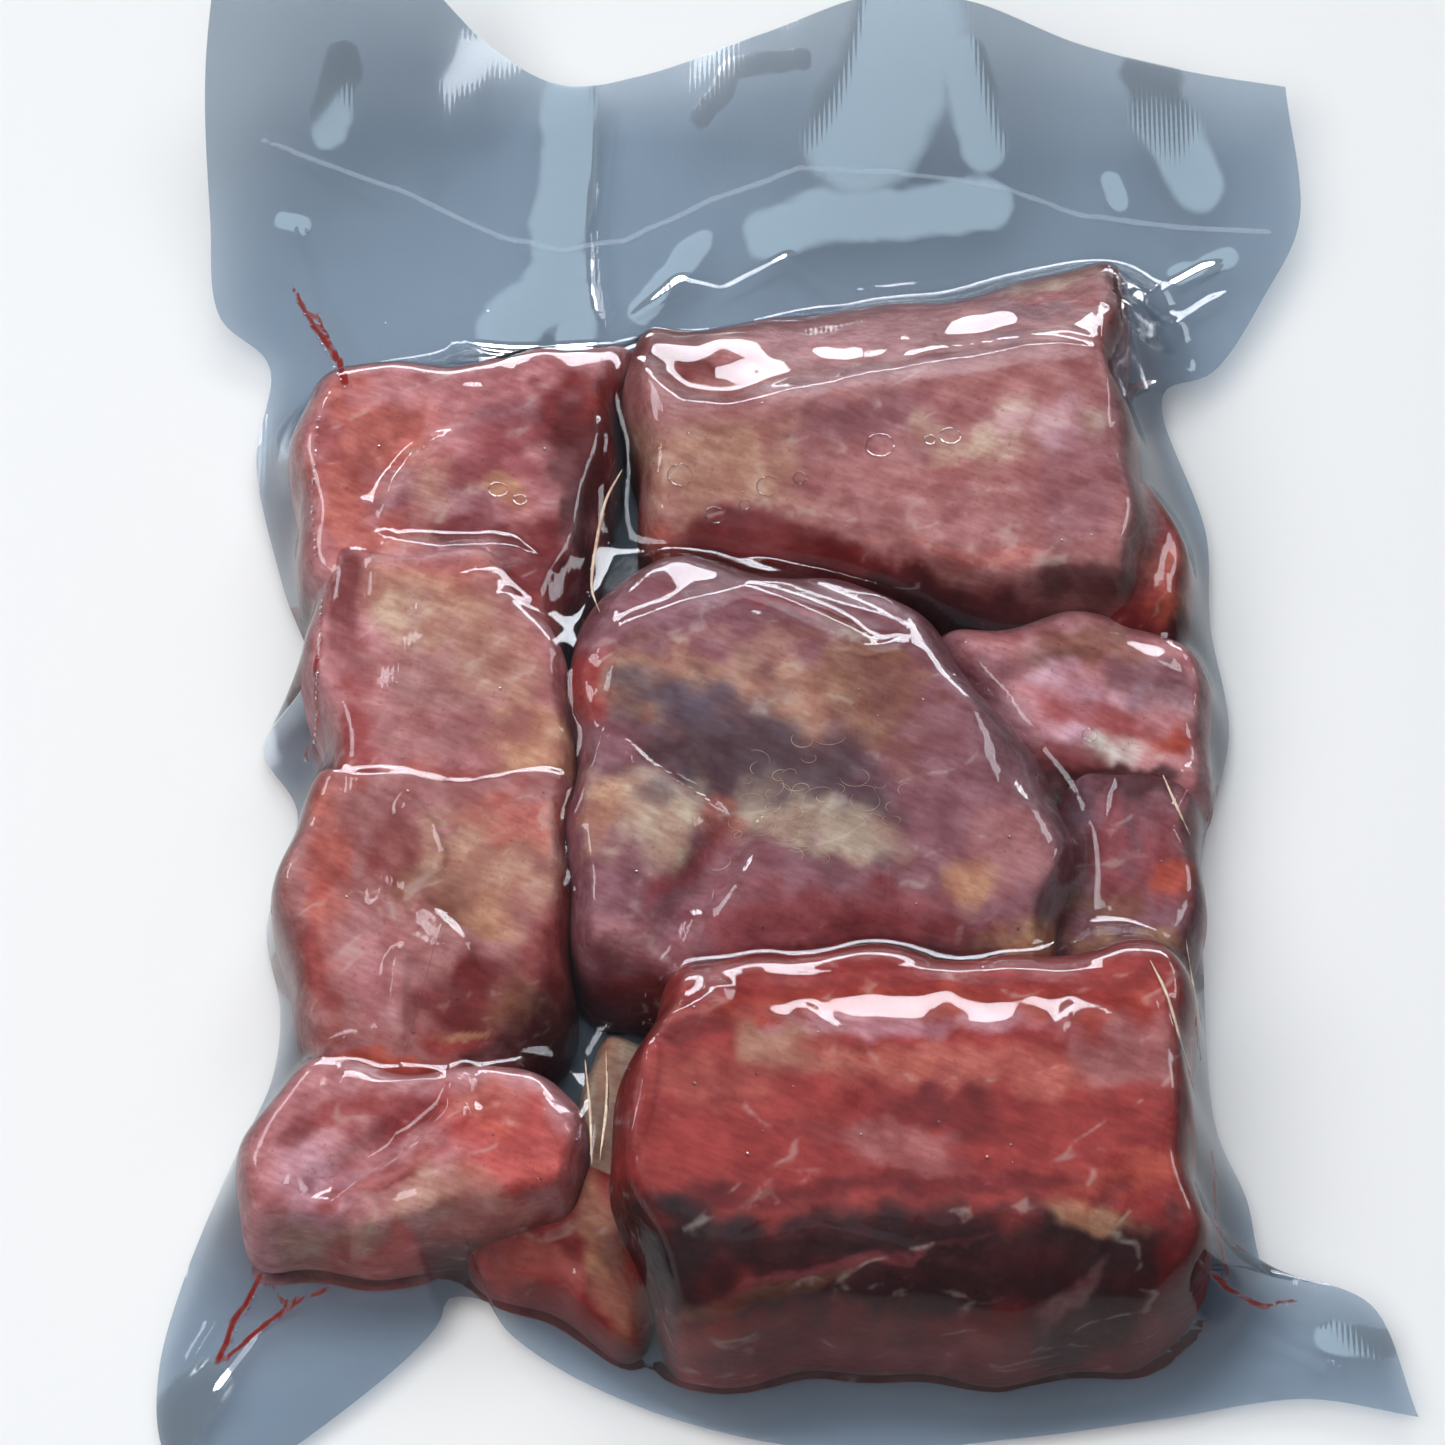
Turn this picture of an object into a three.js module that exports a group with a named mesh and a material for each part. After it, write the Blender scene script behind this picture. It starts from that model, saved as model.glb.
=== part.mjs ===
// A clear vacuum bag, sealed round pieces of veal neck that lie in two columns.
// Millimetres, +Z up. X runs across the bag and +Y towards its mouth, where the film stands up in waves.
// The pack lies on its back sheet, and the origin is under the middle of its box.
import * as THREE from "three";

// Both sheets where they touch, stouter than real film so that the margin is a sound solid.
const WELD = 1.2;
// Height of the plane where the two sheets meet, and of the pieces' widest outline.
const SEAM = 9;
// Tightest curve that the film takes where it bridges from one piece to the next.
const BRIDGE_RADIUS = 6;
// How far under a piece the back sheet takes to rise from the table to the seam.
const UNDERCUT = 8;
// Roundness of a piece's shoulder: 2 is a circle's, more is squarer.
const SHOULDER = 2.4;
// Waves that bend the pieces' sides: how far, how long from crest to crest over two pi, and where the long
// ones begin across and along the bag.
const LONG_SWAY = { size: 1.5, length: 10, startAcross: 0.6, startAlong: 1.9 };
const SHORT_SWAY = { size: 0.8, length: 4.5 };
// Slant of the short waves against the bag.
const SWAY_SLANT = 0.2;
// Cells of each sheet, rounds that settle it onto the meat, and how much of a fold's sharpness its
// stiffness takes.
const CELLS_ACROSS = 44;
const CELLS_ALONG = 58;
const RELAXATIONS = 400;
const STIFFNESS = 0.5;

// The bag's rim as [x, y, height]: the left side upwards, the mouth from the left, the right side upwards
// and the bottom seal from the left.
const LEFT_RIM = [
  [-114, -189, 3], [-122, -174, 3], [-123, -158, 5], [-118, -137, 7], [-109, -112, 8], [-101, -92, 8],
  [-100, -75, 7], [-104, -55, 6], [-98, -27, 8], [-107, -9, 5], [-97, 9, 8], [-104, 32, 7],
  [-112, 66, 6], [-110, 92, 8], [-122, 103, 12], [-125, 128, 18], [-126, 160, 34], [-121, 193, 56],
];
const MOUTH_RIM = [
  [-121, 193, 56], [-98, 193, 50], [-75, 187, 34], [-57, 177, 17], [-40, 171, 10], [-20, 172, 13],
  [10, 177, 24], [38, 181, 35], [60, 180, 34], [88, 174, 24], [115, 170, 18], [140, 168, 14],
];
const RIGHT_RIM = [
  [151, -169, 6], [143, -145, 7], [134, -140, 8], [120, -137, 8], [116, -120, 8], [110, -104, 9],
  [109, -65, 9], [110, -38, 9], [118, -6, 7], [115, 22, 7], [115, 46, 8], [106, 78, 9], [107, 84, 10],
  [118, 88, 11], [132, 109, 13], [141, 128, 15], [140, 168, 14],
];
const BOTTOM_RIM = [
  [-114, -189, 3], [-94, -176, 4], [-69, -156, 6], [-62, -148, 7], [-60, -143, 8], [-51, -144, 8],
  [-48, -149, 7], [-36, -158, 6], [-11, -169, 5], [25, -176, 4], [66, -173, 4], [97, -169, 5],
  [127, -165, 6], [151, -169, 6],
];

// The pieces of meat. Each has straight sides with rounded corners, listed by the corner where the side
// starts and by how far that side leans in from its foot at the seam to the crown. The crown's height is
// given at the middle of the piece, with its slopes along X and Y.
const PIECES = {
  rack: {
    height: 47,
    slopes: [0.01, -0.05],
    sides: [[-20, 26, 12], [45, 13, 11], [99, 6, 10], [97, 113, 15], [-24, 91, 9]],
  },
  shoulder: {
    height: 47,
    slopes: [-0.03, 0.03],
    sides: [[-33, -82, 10], [72, -78, 9], [84, -46, 15], [48, 17, 11], [-16, 31, 12], [-38, -2, 8]],
  },
  knuckle: {
    height: 34,
    slopes: [-0.1, 0.1],
    sides: [[62, -30, 8], [110, -34, 8], [114, 6, 10], [88, 18, 12], [44, 12, 12]],
  },
  stub: {
    height: 29,
    slopes: [-0.1, 0],
    sides: [[72, -78, 9], [104, -77, 9], [113, -52, 8], [107, -24, 8], [75, -20, 8]],
  },
  slab: {
    height: 50,
    slopes: [-0.01, 0.05],
    sides: [
      [-15, -161, 28], [98, -160, 12], [106, -148, 10], [103, -70, 14], [-14, -72, 8], [-26, -118, 9],
    ],
  },
  heel: {
    height: 38,
    slopes: [-0.1, 0],
    sides: [[88, 4, 8], [112, 8, 8], [110, 30, 8], [98, 52, 10], [84, 44, 8]],
  },
  cap: {
    height: 41,
    slopes: [0, -0.06],
    sides: [[-96, 13, 8], [-37, -8, 7], [-18, 88, 9], [-96, 78, 11], [-105, 50, 9]],
  },
  fillet: {
    height: 44,
    slopes: [0.08, 0],
    sides: [[-84, -52, 8], [-33, -52, 6], [-34, 4, 10], [-48, 29, 8], [-92, 29, 9], [-98, -5, 9]],
  },
  fold: {
    height: 42,
    slopes: [0.08, 0.1],
    sides: [[-92, -104, 22], [-42, -105, 16], [-31, -78, 6], [-32, -32, 6], [-93, -27, 8], [-102, -62, 10]],
  },
  shank: {
    height: 39,
    slopes: [0.06, 0.04],
    sides: [[-104, -139, 8], [-30, -133, 6], [-26, -112, 8], [-38, -97, 8], [-95, -94, 9], [-108, -122, 9]],
  },
  strip: {
    height: 23,
    slopes: [0, 0.1],
    sides: [[-60, -138, 6], [-17, -160, 8], [-15, -115, 8], [-45, -115, 8]],
  },
  gristle: {
    height: 25,
    slopes: [0, 0],
    sides: [[-33, -122, 5], [-20, -124, 5], [-13, -88, 5], [-30, -86, 5]],
  },
};

// Swells and hollows on the crowns: middle, reach along and across, turn in degrees, and height.
const SWELLS = [
  { at: [40, 108], reach: [70, 24], turn: 8, rise: -18 },
  { at: [48, -83], reach: [58, 10], turn: 0, rise: -5 },
  { at: [14, 25], reach: [36, 14], turn: -12, rise: -8 },
  { at: [32, 8], reach: [22, 8], turn: -40, rise: -3 },
  { at: [30, 62], reach: [45, 8], turn: 8, rise: 2 },
  { at: [30, 44], reach: [45, 8], turn: 3, rise: -1.5 },
  { at: [-19, -50], reach: [20, 11], turn: 60, rise: 3 },
  { at: [-4, -60], reach: [21, 5], turn: 60, rise: -5 },
  { at: [14, -62], reach: [22, 9], turn: 8, rise: 2 },
  { at: [30, -30], reach: [40, 14], turn: -42, rise: 2 },
  { at: [45, -97], reach: [50, 7], turn: 1, rise: 1.5 },
  { at: [-76, 50], reach: [13, 6], turn: 50, rise: -3 },
  { at: [-62, -5], reach: [18, 20], turn: 0, rise: 2 },
  { at: [-74, -62], reach: [22, 5], turn: -48, rise: -5 },
  { at: [-62, -72], reach: [20, 6], turn: -40, rise: 3 },
  { at: [-72, -118], reach: [22, 4], turn: 30, rise: -4 },
  { at: [-48, -116], reach: [14, 10], turn: 0, rise: 2 },
];

// The mouth's part of the bag begins at this share of its length, and lifts by this power of the way along.
const MOUTH_START = 0.72;
const MOUTH_LIFT = 1.5;
// Shares of the bag's width and length over which the margin drops from the seam to its rim.
const MARGIN_ACROSS = 0.1;
const MARGIN_ALONG = 0.07;

const clamp01 = (x) => Math.min(1, Math.max(0, x));

// Evenly spaced points along a smooth curve through the given ones.
function smoothed(points, steps) {
  const through = points.map(([x, y, z = 0]) => new THREE.Vector3(x, y, z));
  const curve = new THREE.CatmullRomCurve3(through, false, "centripetal");
  curve.arcLengthDivisions = 1000;
  return curve.getSpacedPoints(steps);
}

// The sheet's places: a patch between the four rims, row by row from the bottom seal to the mouth.
function layOutSheet() {
  const left = smoothed(LEFT_RIM, CELLS_ALONG);
  const right = smoothed(RIGHT_RIM, CELLS_ALONG);
  const bottom = smoothed(BOTTOM_RIM, CELLS_ACROSS);
  const mouth = smoothed(MOUTH_RIM, CELLS_ACROSS);
  const rows = [];
  for (let j = 0; j <= CELLS_ALONG; j++) {
    const v = j / CELLS_ALONG;
    const row = [];
    for (let i = 0; i <= CELLS_ACROSS; i++) {
      const u = i / CELLS_ACROSS;
      const between = (axis) =>
        (1 - v) * bottom[i][axis] + v * mouth[i][axis] +
        (1 - u) * left[j][axis] + u * right[j][axis] -
        (1 - u) * (1 - v) * bottom[0][axis] - u * (1 - v) * bottom[CELLS_ACROSS][axis] -
        (1 - u) * v * mouth[0][axis] - u * v * mouth[CELLS_ACROSS][axis];
      const seam = seamHeight(u, v, i, j, left, right, bottom, mouth);
      row.push({ x: between("x"), y: between("y"), seam });
    }
    rows.push(row);
  }
  return rows;
}

// Height of the plane between the sheets: level under the meat, lifted at the mouth, and led to the rim's
// heights.
function seamHeight(u, v, i, j, left, right, bottom, mouth) {
  const lift = clamp01((v - MOUTH_START) / (1 - MOUTH_START)) ** MOUTH_LIFT;
  const inner = (top) => SEAM + (top - SEAM) * lift;
  const fade = (share, reach) => clamp01(1 - share / reach) ** 2;
  return (
    inner(mouth[i].z) +
    (left[j].z - inner(mouth[0].z)) * fade(u, MARGIN_ACROSS) +
    (right[j].z - inner(mouth[CELLS_ACROSS].z)) * fade(1 - u, MARGIN_ACROSS) +
    (bottom[i].z - SEAM) * fade(v, MARGIN_ALONG) *
      (1 - fade(u, MARGIN_ACROSS)) * (1 - fade(1 - u, MARGIN_ACROSS))
  );
}

function swellAt(x, y) {
  return SWELLS.reduce((sum, { at, reach, turn, rise }) => {
    const angle = THREE.MathUtils.degToRad(turn);
    const along = (x - at[0]) * Math.cos(angle) + (y - at[1]) * Math.sin(angle);
    const across = (y - at[1]) * Math.cos(angle) - (x - at[0]) * Math.sin(angle);
    return sum + rise * Math.exp(-((along / reach[0]) ** 2) - (across / reach[1]) ** 2);
  }, 0);
}

// Bends the pieces' straight sides as soft meat does, by a long and a short wave each way.
function swayed(x, y) {
  return [
    x + LONG_SWAY.size * Math.sin(y / LONG_SWAY.length + LONG_SWAY.startAcross) +
      SHORT_SWAY.size * Math.sin((y + SWAY_SLANT * x) / SHORT_SWAY.length),
    y + LONG_SWAY.size * Math.sin(x / LONG_SWAY.length + LONG_SWAY.startAlong) +
      SHORT_SWAY.size * Math.sin((x - SWAY_SLANT * y) / SHORT_SWAY.length),
  ];
}

// How far a place has come from a piece's foot to its crown, 0 to 1, where each side leans in by its own
// measure.
function riseIn(sides, leanOf, placeX, placeY) {
  const [x, y] = swayed(placeX, placeY);
  const toFoot = sides.reduce((sum, side, k) => {
    const [ax, ay] = side;
    const [bx, by] = sides[(k + 1) % sides.length];
    const inward = ((bx - ax) * (y - ay) - (by - ay) * (x - ax)) / Math.hypot(bx - ax, by - ay);
    return sum + Math.max(0, 1 - inward / leanOf(side)) ** SHOULDER;
  }, 0);
  return Math.max(0, 1 - toFoot) ** (1 / SHOULDER);
}

// One piece at one place: its crown's height there, and how far its sides have risen and sunk.
function pieceAt({ sides, height, slopes }, x, y) {
  const middle = (axis) => sides.reduce((sum, side) => sum + side[axis], 0) / sides.length;
  return {
    top: height + slopes[0] * (x - middle(0)) + slopes[1] * (y - middle(1)) + swellAt(x, y),
    risen: riseIn(sides, ([, , lean]) => lean, x, y),
    sunk: riseIn(sides, () => UNDERCUT, x, y),
  };
}

// Draws a sheet over its supports like a skin under pressure: it touches them or bridges between them.
function drape(rows, support, field) {
  const height = rows.map((row) => row.map((p) => p[support]));
  for (let round = 0; round < RELAXATIONS; round++)
    for (let j = 1; j < CELLS_ALONG; j++)
      for (let i = 1; i < CELLS_ACROSS; i++) {
        const here = rows[j][i];
        const span = (p, q) => Math.hypot(p.x - q.x, p.y - q.y) / 2;
        const across = span(rows[j][i - 1], rows[j][i + 1]) ** -2;
        const along = span(rows[j - 1][i], rows[j + 1][i]) ** -2;
        const sum =
          across * (height[j][i - 1] + height[j][i + 1]) + along * (height[j - 1][i] + height[j + 1][i]);
        const level = (sum - 1 / BRIDGE_RADIUS) / (2 * (across + along));
        height[j][i] = Math.max(here[support], level);
      }
  rows.forEach((row, j) => row.forEach((p, i) => (p[field] = softened(height, i, j))));
}

// The film's stiffness: a height shared with the four places beside it.
function softened(height, i, j) {
  if (i === 0 || j === 0 || i === CELLS_ACROSS || j === CELLS_ALONG) return height[j][i];
  const beside = (height[j][i - 1] + height[j][i + 1] + height[j - 1][i] + height[j + 1][i]) / 4;
  return height[j][i] + STIFFNESS * (beside - height[j][i]);
}

// The front sheet's height above the seam and the back sheet's depth under it, both at least half the weld.
function fillSheet(rows) {
  for (const row of rows)
    for (const p of row) {
      const met = Object.values(PIECES).map((piece) => pieceAt(piece, p.x, p.y));
      p.meatAbove = Math.max(WELD / 2, ...met.map((m) => m.risen * (m.top - p.seam)));
      p.meatBelow = Math.max(WELD / 2, ...met.map((m) => m.sunk * p.seam));
    }
  drape(rows, "meatAbove", "above");
  drape(rows, "meatBelow", "below");
}

// Closes the two sheets round their rim into one solid.
function closedPack(rows) {
  const width = CELLS_ACROSS + 1;
  const count = width * (CELLS_ALONG + 1);
  const front = rows.flat().map((p) => [p.x, p.y, p.seam + p.above]);
  const back = rows.flat().map((p) => [p.x, p.y, Math.max(0, p.seam - p.below)]);
  const places = [...front, ...back];
  const index = [];
  // Four corners in turn, folded along the diagonal whose ends differ less in height.
  const face = (a, b, c, d) => {
    const drop = (p, q) => Math.abs(places[p][2] - places[q][2]);
    if (drop(a, c) <= drop(b, d)) index.push(a, b, c, a, c, d);
    else index.push(b, c, d, b, d, a);
  };
  for (let j = 0; j < CELLS_ALONG; j++)
    for (let i = 0; i < CELLS_ACROSS; i++) {
      const a = j * width + i;
      face(a, a + 1, a + width + 1, a + width);
      face(count + a, count + a + width, count + a + width + 1, count + a + 1);
    }
  const rim = [];
  for (let i = 0; i < CELLS_ACROSS; i++) rim.push(i);
  for (let j = 0; j < CELLS_ALONG; j++) rim.push(j * width + CELLS_ACROSS);
  for (let i = CELLS_ACROSS; i > 0; i--) rim.push(CELLS_ALONG * width + i);
  for (let j = CELLS_ALONG; j > 0; j--) rim.push(j * width);
  rim.forEach((a, k) => {
    const b = rim[(k + 1) % rim.length];
    face(count + a, count + b, b, a);
  });
  const geometry = new THREE.BufferGeometry();
  geometry.setAttribute("position", new THREE.Float32BufferAttribute(places.flat(), 3));
  geometry.setIndex(index);
  return geometry;
}

// Puts the origin under the middle of the box.
function centred(geometry) {
  geometry.computeBoundingBox();
  const middle = geometry.boundingBox.getCenter(new THREE.Vector3());
  geometry.translate(-middle.x, -middle.y, -geometry.boundingBox.min.z);
  geometry.computeVertexNormals();
  return geometry;
}

const sheet = layOutSheet();
fillSheet(sheet);
const meatUnderFilm = new THREE.MeshStandardMaterial({ color: 0x9c4a45, roughness: 0.25, metalness: 0 });
const pack = new THREE.Mesh(centred(closedPack(sheet)), meatUnderFilm);
pack.name = "vacuum_pack";

const model = new THREE.Group();
model.add(pack);
export default model;
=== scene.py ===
"""A clear vacuum bag drawn tight over raw pieces of veal neck, seen from above and in front.

Shapes are worked out in millimetres in the sheet's own frame: X across the bag, Y towards its mouth, Z up.
They are moved onto the frame's solid when each mesh is made.
"""
import math

import bpy
import numpy as np
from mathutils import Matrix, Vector


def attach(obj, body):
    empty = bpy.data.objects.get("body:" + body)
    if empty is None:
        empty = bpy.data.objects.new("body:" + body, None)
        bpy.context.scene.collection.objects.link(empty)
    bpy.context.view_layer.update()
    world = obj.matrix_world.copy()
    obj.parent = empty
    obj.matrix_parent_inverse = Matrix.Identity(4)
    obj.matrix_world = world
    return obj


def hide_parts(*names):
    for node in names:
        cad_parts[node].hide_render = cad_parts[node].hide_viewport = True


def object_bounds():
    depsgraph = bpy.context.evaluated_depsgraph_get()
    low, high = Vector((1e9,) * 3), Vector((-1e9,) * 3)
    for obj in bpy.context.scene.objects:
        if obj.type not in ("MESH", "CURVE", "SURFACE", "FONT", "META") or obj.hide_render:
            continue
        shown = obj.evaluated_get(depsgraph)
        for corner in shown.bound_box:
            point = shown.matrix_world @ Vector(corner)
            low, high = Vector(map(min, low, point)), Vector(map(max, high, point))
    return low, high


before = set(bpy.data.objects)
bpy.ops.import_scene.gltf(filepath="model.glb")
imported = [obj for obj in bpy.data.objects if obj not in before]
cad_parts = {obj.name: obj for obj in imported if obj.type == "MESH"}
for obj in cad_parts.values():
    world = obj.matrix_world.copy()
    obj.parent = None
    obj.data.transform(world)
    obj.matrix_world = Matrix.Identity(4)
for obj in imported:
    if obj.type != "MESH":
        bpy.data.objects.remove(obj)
CAD_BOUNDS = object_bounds()

MM = 0.001

# The bag's rim as (x, y, height): up the left side, along the mouth, down the right side, along the bottom.
LEFT_RIM = [
    (-114, -189, 3), (-122, -174, 3), (-123, -158, 5), (-118, -137, 7), (-109, -112, 8), (-101, -92, 8),
    (-100, -75, 7), (-104, -55, 6), (-98, -27, 8), (-107, -9, 5), (-97, 9, 8), (-104, 32, 7),
    (-112, 66, 6), (-110, 92, 8), (-122, 103, 12), (-125, 128, 18), (-126, 160, 34), (-121, 193, 56),
]
MOUTH_RIM = [
    (-121, 193, 56), (-98, 193, 50), (-75, 187, 34), (-57, 177, 17), (-40, 171, 10), (-20, 172, 13),
    (10, 177, 24), (38, 181, 35), (60, 180, 34), (88, 174, 24), (115, 170, 18), (140, 168, 14),
]
RIGHT_RIM = [
    (151, -169, 6), (143, -145, 7), (134, -140, 8), (120, -137, 8), (116, -120, 8), (110, -104, 9),
    (109, -65, 9), (110, -38, 9), (118, -6, 7), (115, 22, 7), (115, 46, 8), (106, 78, 9), (107, 84, 10),
    (118, 88, 11), (132, 109, 13), (141, 128, 15), (140, 168, 14),
]
BOTTOM_RIM = [
    (-114, -189, 3), (-94, -176, 4), (-69, -156, 6), (-62, -148, 7), (-60, -143, 8), (-51, -144, 8),
    (-48, -149, 7), (-36, -158, 6), (-11, -169, 5), (25, -176, 4), (66, -173, 4), (97, -169, 5),
    (127, -165, 6), (151, -169, 6),
]

# Height of the plane where the two sheets meet, and of the pieces' widest outline.
SEAM = 9.0
# Half the distance between the two sheets where they touch.
HALF_WELD = 0.2
# The film's distance from the meat that it is drawn onto.
CLEARANCE = 0.35
# Tightest curve that the film takes where it bridges from one piece to the next.
BRIDGE_RADIUS = 6.0
# How far under a piece the back sheet takes to rise from the table to the seam.
UNDERCUT = 8.0
# The least height of the back sheet over the table.
TABLE_GAP = 0.05
# Roundness of a piece's shoulder: 2 is a circle's, more is squarer.
SHOULDER = 2.4
# The share of the sheet's length where the mouth starts to lift, and how its lift grows.
MOUTH_START, MOUTH_LIFT = 0.72, 1.5
# How far in the rims' own heights reach, as shares of the sheet.
MARGIN_ACROSS, MARGIN_ALONG = 0.1, 0.07
# The long and the short wave that bend the pieces' straight sides.
LONG_SWAY = dict(size=1.5, length=10, start_across=0.6, start_along=1.9)
SHORT_SWAY = dict(size=0.8, length=4.5, slant=0.2)
# Unevenness of the meat and of the film over it, in layers by height and by size of the bumps.
MEAT_RELIEF = [(1.1, 19), (0.45, 8)]
FILM_RELIEF = [(0.22, 6), (0.08, 2.6)]
# How far that lifts the film in all, and the film's height over the seam where it is at its full.
FILM_SLACK, FULL_SLACK_HEIGHT = 0.3, 4

CELLS_ACROSS = 260
CELLS_ALONG = 366
RELAXATIONS = 900
# Rounds that settle the back sheet, on its coarser grid, and the front sheet onto its own folds.
BACK_RELAXATIONS = 300
SETTLING = 12
# How steeply a fold of the film falls away from its edge.
FOLD_SLOPE = 0.42
# What is added to that for a fold along the bag, and for one left of LEFT_FROM, where pieces lean forward.
ALONG_SLOPE = 0.16
LEFT_SLOPE, LEFT_FROM = 0.08, -40
# Rings of points under a piece, where little of it is seen.
UNDER_RINGS = 14
# Threads of sinew on the shoulder, and bubbles away from the creases.
THREADS = 50
LOOSE_BUBBLES = 70

# The film's sheets: tint of light that passes, share of milk, the milk's colour and the gloss's roughness.
FRONT_FILM = (0.96, 0.97, 0.98), 0.005, (0.7, 0.78, 0.9), 0.06
BACK_FILM = (0.57, 0.65, 0.73), 0.26, (0.28, 0.34, 0.42), 0.15
# Distance between the fine ribs embossed along the film, their depth, and how much of it the gloss follows.
RIB_PITCH, RIB_DEPTH, RIB_STRENGTH = 1.2, 0.03, 0.12
# How much light passes the lifted mouth against the margins, and between which heights in metres it fades.
LIFTED_SHADE = 0.9
LIFTED_FROM, LIFTED_TO = 0.008, 0.03
# How many times more the film mirrors at the reflection places, and the pale blue of the painted reflection
# there.
PALE_GLOSS = 22
PAINTED_REFLECTION_COLOUR = (0.5, 0.66, 0.83)
# Milk that is added there as painted reflection, along the seal, and in the juice.
PAINTED_REFLECTION_HAZE, SEAL_HAZE, JUICE_HAZE = 0.1, 0.2, 0.35

# How much the muscle's fibres lighten and darken each colour.
FIBRE_TINT = np.array([0.1, 0.17, 0.17])
# How the patches' outlines wander: columns, rows, size of the bumps, and a seed for each.
PATCH_WANDER = [(14, 12, 11, 71, 73), (6, 6, 4, 72, 74), (3, 3, 1.6, 75, 76)]
# Where a patch ends as a share of its reach, and how soft and how frayed its edge is.
PATCH_END, PATCH_SOFTNESS, PATCH_FRAY = 1.35, 0.9, 0.4
# Lowest and highest tint of the meat's fine grain and of its clouding.
GRAIN_TINTS = (0.9, 0.85, 0.85, 1), (1.08, 1.12, 1.12, 1)
CLOUD_TINTS = (0.84, 0.72, 0.72, 1), (1.12, 1.24, 1.24, 1)

# Lamps in metres: place, target, size, radiance, colour, if gloss mirrors them, if they light matt surfaces.
LAMPS = {
    "window": ((0.1, 1.25, 0.5), (0, 0, 0.03), (1.6, 0.36), 34, (0.9, 0.93, 1), True, False),
    "left": ((-1, 0.5, 0.9), (0, 0, 0.03), (0.6, 0.4), 18, (0.9, 0.94, 1), True, False),
    "right": ((1.05, 0.55, 0.85), (0, 0, 0.03), (0.6, 0.4), 16, (0.9, 0.94, 1), True, False),
    "sky": ((0, 0.4, 1.6), (0, 0, 0), (1.3, 1.5), 0.7, (0.6, 0.83, 1), True, True),
    "back": ((0.2, 0.9, 1.3), (0, 0, 0), (1, 0.6), 3.3, (1, 0.98, 0.96), False, True),
    "fill": ((-0.5, -0.3, 1.5), (0, 0, 0), (1.6, 1.6), 3.0, (1, 0.98, 0.96), False, True),
}
WORLD_COLOUR = (0.8, 0.88, 1, 1)
WORLD_STRENGTH = 0.2

# The photograph's camera: its height angle, its distance, and its focal length and frame in pixels.
CAMERA_ANGLE = 65
CAMERA_DISTANCE = 1.0
FOCAL_PIXELS = 4255
FRAME_PIXELS = 1445

# The pieces: sides by the corner where each starts and by its lean from foot to crown, as in the solid.
PIECES = {
    "rack": dict(
        height=47, slopes=(0.01, -0.05), fibres=-14, tone="rose",
        sides=[(-20, 26, 12), (45, 13, 11), (99, 6, 10), (97, 113, 15), (-24, 91, 9)],
    ),
    "shoulder": dict(
        height=47, slopes=(-0.03, 0.03), fibres=-38, tone="mauve",
        sides=[(-33, -82, 10), (72, -78, 9), (84, -46, 15), (48, 17, 11), (-16, 31, 12), (-38, -2, 8)],
    ),
    "knuckle": dict(
        height=34, slopes=(-0.1, 0.1), fibres=-20, tone="pink",
        sides=[(62, -30, 8), (110, -34, 8), (114, 6, 10), (88, 18, 12), (44, 12, 12)],
    ),
    "stub": dict(
        height=29, slopes=(-0.1, 0), fibres=60, tone="mauve",
        sides=[(72, -78, 9), (104, -77, 9), (113, -52, 8), (107, -24, 8), (75, -20, 8)],
    ),
    "slab": dict(
        height=50, slopes=(-0.01, 0.05), fibres=-4, tone="red",
        sides=[
            (-15, -161, 28), (98, -160, 12), (106, -148, 10), (103, -70, 14), (-14, -72, 8), (-26, -118, 9),
        ],
    ),
    "heel": dict(
        height=38, slopes=(-0.1, 0), fibres=60, tone="red",
        sides=[(88, 4, 8), (112, 8, 8), (110, 30, 8), (98, 52, 10), (84, 44, 8)],
    ),
    "cap": dict(
        height=41, slopes=(0, -0.06), fibres=20, tone="pink",
        sides=[(-96, 13, 8), (-37, -8, 7), (-18, 88, 9), (-96, 78, 11), (-105, 50, 9)],
    ),
    "fillet": dict(
        height=44, slopes=(0.08, 0), fibres=-35, tone="pink",
        sides=[(-84, -52, 8), (-33, -52, 6), (-34, 4, 10), (-48, 29, 8), (-92, 29, 9), (-98, -5, 9)],
    ),
    "fold": dict(
        height=42, slopes=(0.08, 0.1), fibres=-35, tone="rose",
        sides=[
            (-92, -104, 22), (-42, -105, 16), (-31, -78, 6), (-32, -32, 6), (-93, -27, 8), (-102, -62, 10),
        ],
    ),
    "shank": dict(
        height=39, slopes=(0.06, 0.04), fibres=15, tone="pink",
        sides=[
            (-104, -139, 8), (-30, -133, 6), (-26, -112, 8), (-38, -97, 8), (-95, -94, 9), (-108, -122, 9),
        ],
    ),
    "strip": dict(
        height=23, slopes=(0, 0.1), fibres=-50, tone="red",
        sides=[(-60, -138, 6), (-17, -160, 8), (-15, -115, 8), (-45, -115, 8)],
    ),
    "gristle": dict(
        height=25, slopes=(0, 0), fibres=80, tone="cream",
        sides=[(-33, -122, 5), (-20, -124, 5), (-13, -88, 5), (-30, -86, 5)],
    ),
}

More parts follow.
